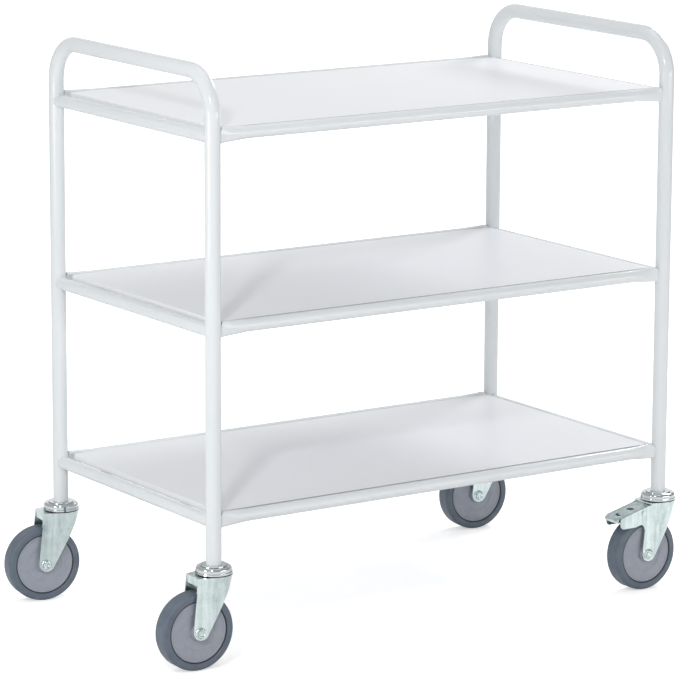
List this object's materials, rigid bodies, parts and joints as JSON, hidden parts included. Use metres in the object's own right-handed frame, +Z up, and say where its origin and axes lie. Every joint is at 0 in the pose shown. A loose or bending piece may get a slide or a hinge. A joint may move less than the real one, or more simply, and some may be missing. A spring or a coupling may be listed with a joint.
{
  "type": "shelf trolley",
  "caption": "Office trolley with flat shelf boards in tube frames between two bent tube end hoops with push handles, on swivel castors, those at one end with a foot brake",
  "frame": {"origin": "on the floor, under the middle of the whole trolley's box", "axes": "+X runs along the shelves towards the braked end, +Y from the front to the back, +Z is up"},
  "size_m": [1.0079, 0.546, 0.945],
  "materials": {
    "tube_paint": "pale grey baked powder paint, half gloss",
    "board_laminate": "pale grey smooth laminate on board",
    "chrome_plate": "bright chromed pressed steel",
    "zinc_steel": "bright zinc-plated steel",
    "bearing_steel": "polished balls under grease",
    "tyre_rubber": "dark blue-grey rubber, half matt",
    "wheel_plastic": "mid grey moulded plastic with a slight violet cast",
    "expander_plastic": "dark moulded plastic"
  },
  "bodies": {
    "frame": {"left_hoop": "tube_paint", "right_hoop": "tube_paint", "bottom_front_rail": "tube_paint", "bottom_back_rail": "tube_paint", "bottom_left_rail": "tube_paint", "bottom_right_rail": "tube_paint", "bottom_board": "board_laminate", "middle_front_rail": "tube_paint", "middle_back_rail": "tube_paint", "middle_left_rail": "tube_paint", "middle_right_rail": "tube_paint", "middle_board": "board_laminate", "top_front_rail": "tube_paint", "top_back_rail": "tube_paint", "top_left_rail": "tube_paint", "top_right_rail": "tube_paint", "top_board": "board_laminate", "board_screws": "zinc_steel", "king_bolts": "zinc_steel", "expander_nuts": "zinc_steel", "race_balls": "bearing_steel", "front_left_head_ring": "chrome_plate", "front_left_expander": "expander_plastic", "rear_left_head_ring": "chrome_plate", "rear_left_expander": "expander_plastic", "front_right_head_ring": "chrome_plate", "front_right_expander": "expander_plastic", "rear_right_head_ring": "chrome_plate", "rear_right_expander": "expander_plastic"},
    "front_left_castor": {"front_left_fork": "zinc_steel", "front_left_axle_bolt": "zinc_steel", "front_left_axle_nut": "zinc_steel", "front_left_axle_bush": "zinc_steel"},
    "front_left_wheel": {"front_left_wheel_centre": "wheel_plastic", "front_left_tyre": "tyre_rubber"},
    "rear_left_castor": {"rear_left_fork": "zinc_steel", "rear_left_axle_bolt": "zinc_steel", "rear_left_axle_nut": "zinc_steel", "rear_left_axle_bush": "zinc_steel"},
    "rear_left_wheel": {"rear_left_wheel_centre": "wheel_plastic", "rear_left_tyre": "tyre_rubber"},
    "front_right_castor": {"front_right_fork": "zinc_steel", "front_right_axle_bolt": "zinc_steel", "front_right_axle_nut": "zinc_steel", "front_right_axle_bush": "zinc_steel", "front_right_brake_pin": "zinc_steel"},
    "front_right_wheel": {"front_right_wheel_centre": "wheel_plastic", "front_right_tyre": "tyre_rubber"},
    "rear_right_castor": {"rear_right_fork": "zinc_steel", "rear_right_axle_bolt": "zinc_steel", "rear_right_axle_nut": "zinc_steel", "rear_right_axle_bush": "zinc_steel", "rear_right_brake_pin": "zinc_steel"},
    "rear_right_wheel": {"rear_right_wheel_centre": "wheel_plastic", "rear_right_tyre": "tyre_rubber"},
    "front_right_brake": {"front_right_brake_pedal": "zinc_steel", "front_right_brake_block": "tyre_rubber"},
    "rear_right_brake": {"rear_right_brake_pedal": "zinc_steel", "rear_right_brake_block": "tyre_rubber"}
  },
  "joints": [
    {"name": "front_left_swivel", "type": "hinge", "parent": "frame", "child": "front_left_castor", "pos_m": [-0.40625, -0.241, 0.15], "axis": [0, 0, 1], "continuous": true},
    {"name": "front_left_wheel_spin", "type": "hinge", "parent": "front_left_castor", "child": "front_left_wheel", "pos_m": [-0.44122, -0.23947, 0.0625], "axis": [0.0436, 0.999, 0], "continuous": true},
    {"name": "rear_left_swivel", "type": "hinge", "parent": "frame", "child": "rear_left_castor", "pos_m": [-0.40625, 0.241, 0.15], "axis": [0, 0, 1], "continuous": true},
    {"name": "rear_left_wheel_spin", "type": "hinge", "parent": "rear_left_castor", "child": "rear_left_wheel", "pos_m": [-0.44087, 0.24617, 0.0625], "axis": [0.1478, 0.989, 0], "continuous": true},
    {"name": "front_right_swivel", "type": "hinge", "parent": "frame", "child": "front_right_castor", "pos_m": [0.47375, -0.241, 0.15], "axis": [0, 0, 1], "continuous": true},
    {"name": "front_right_wheel_spin", "type": "hinge", "parent": "front_right_castor", "child": "front_right_wheel", "pos_m": [0.43876, -0.24161, 0.0625], "axis": [-0.0175, 0.9998, 0], "continuous": true},
    {"name": "rear_right_swivel", "type": "hinge", "parent": "frame", "child": "rear_right_castor", "pos_m": [0.47375, 0.241, 0.15], "axis": [0, 0, 1], "continuous": true},
    {"name": "rear_right_wheel_spin", "type": "hinge", "parent": "rear_right_castor", "child": "rear_right_wheel", "pos_m": [0.43888, 0.24405, 0.0625], "axis": [0.0872, 0.9962, 0], "continuous": true},
    {"name": "front_right_brake_press", "type": "hinge", "parent": "front_right_castor", "child": "front_right_brake", "pos_m": [0.42776, -0.2418, 0.134], "axis": [0.0175, -0.9998, 0], "range_deg": [0, 10]},
    {"name": "rear_right_brake_press", "type": "hinge", "parent": "rear_right_castor", "child": "rear_right_brake", "pos_m": [0.42792, 0.24501, 0.134], "axis": [-0.0872, -0.9962, 0], "range_deg": [0, 10]}
  ]
}
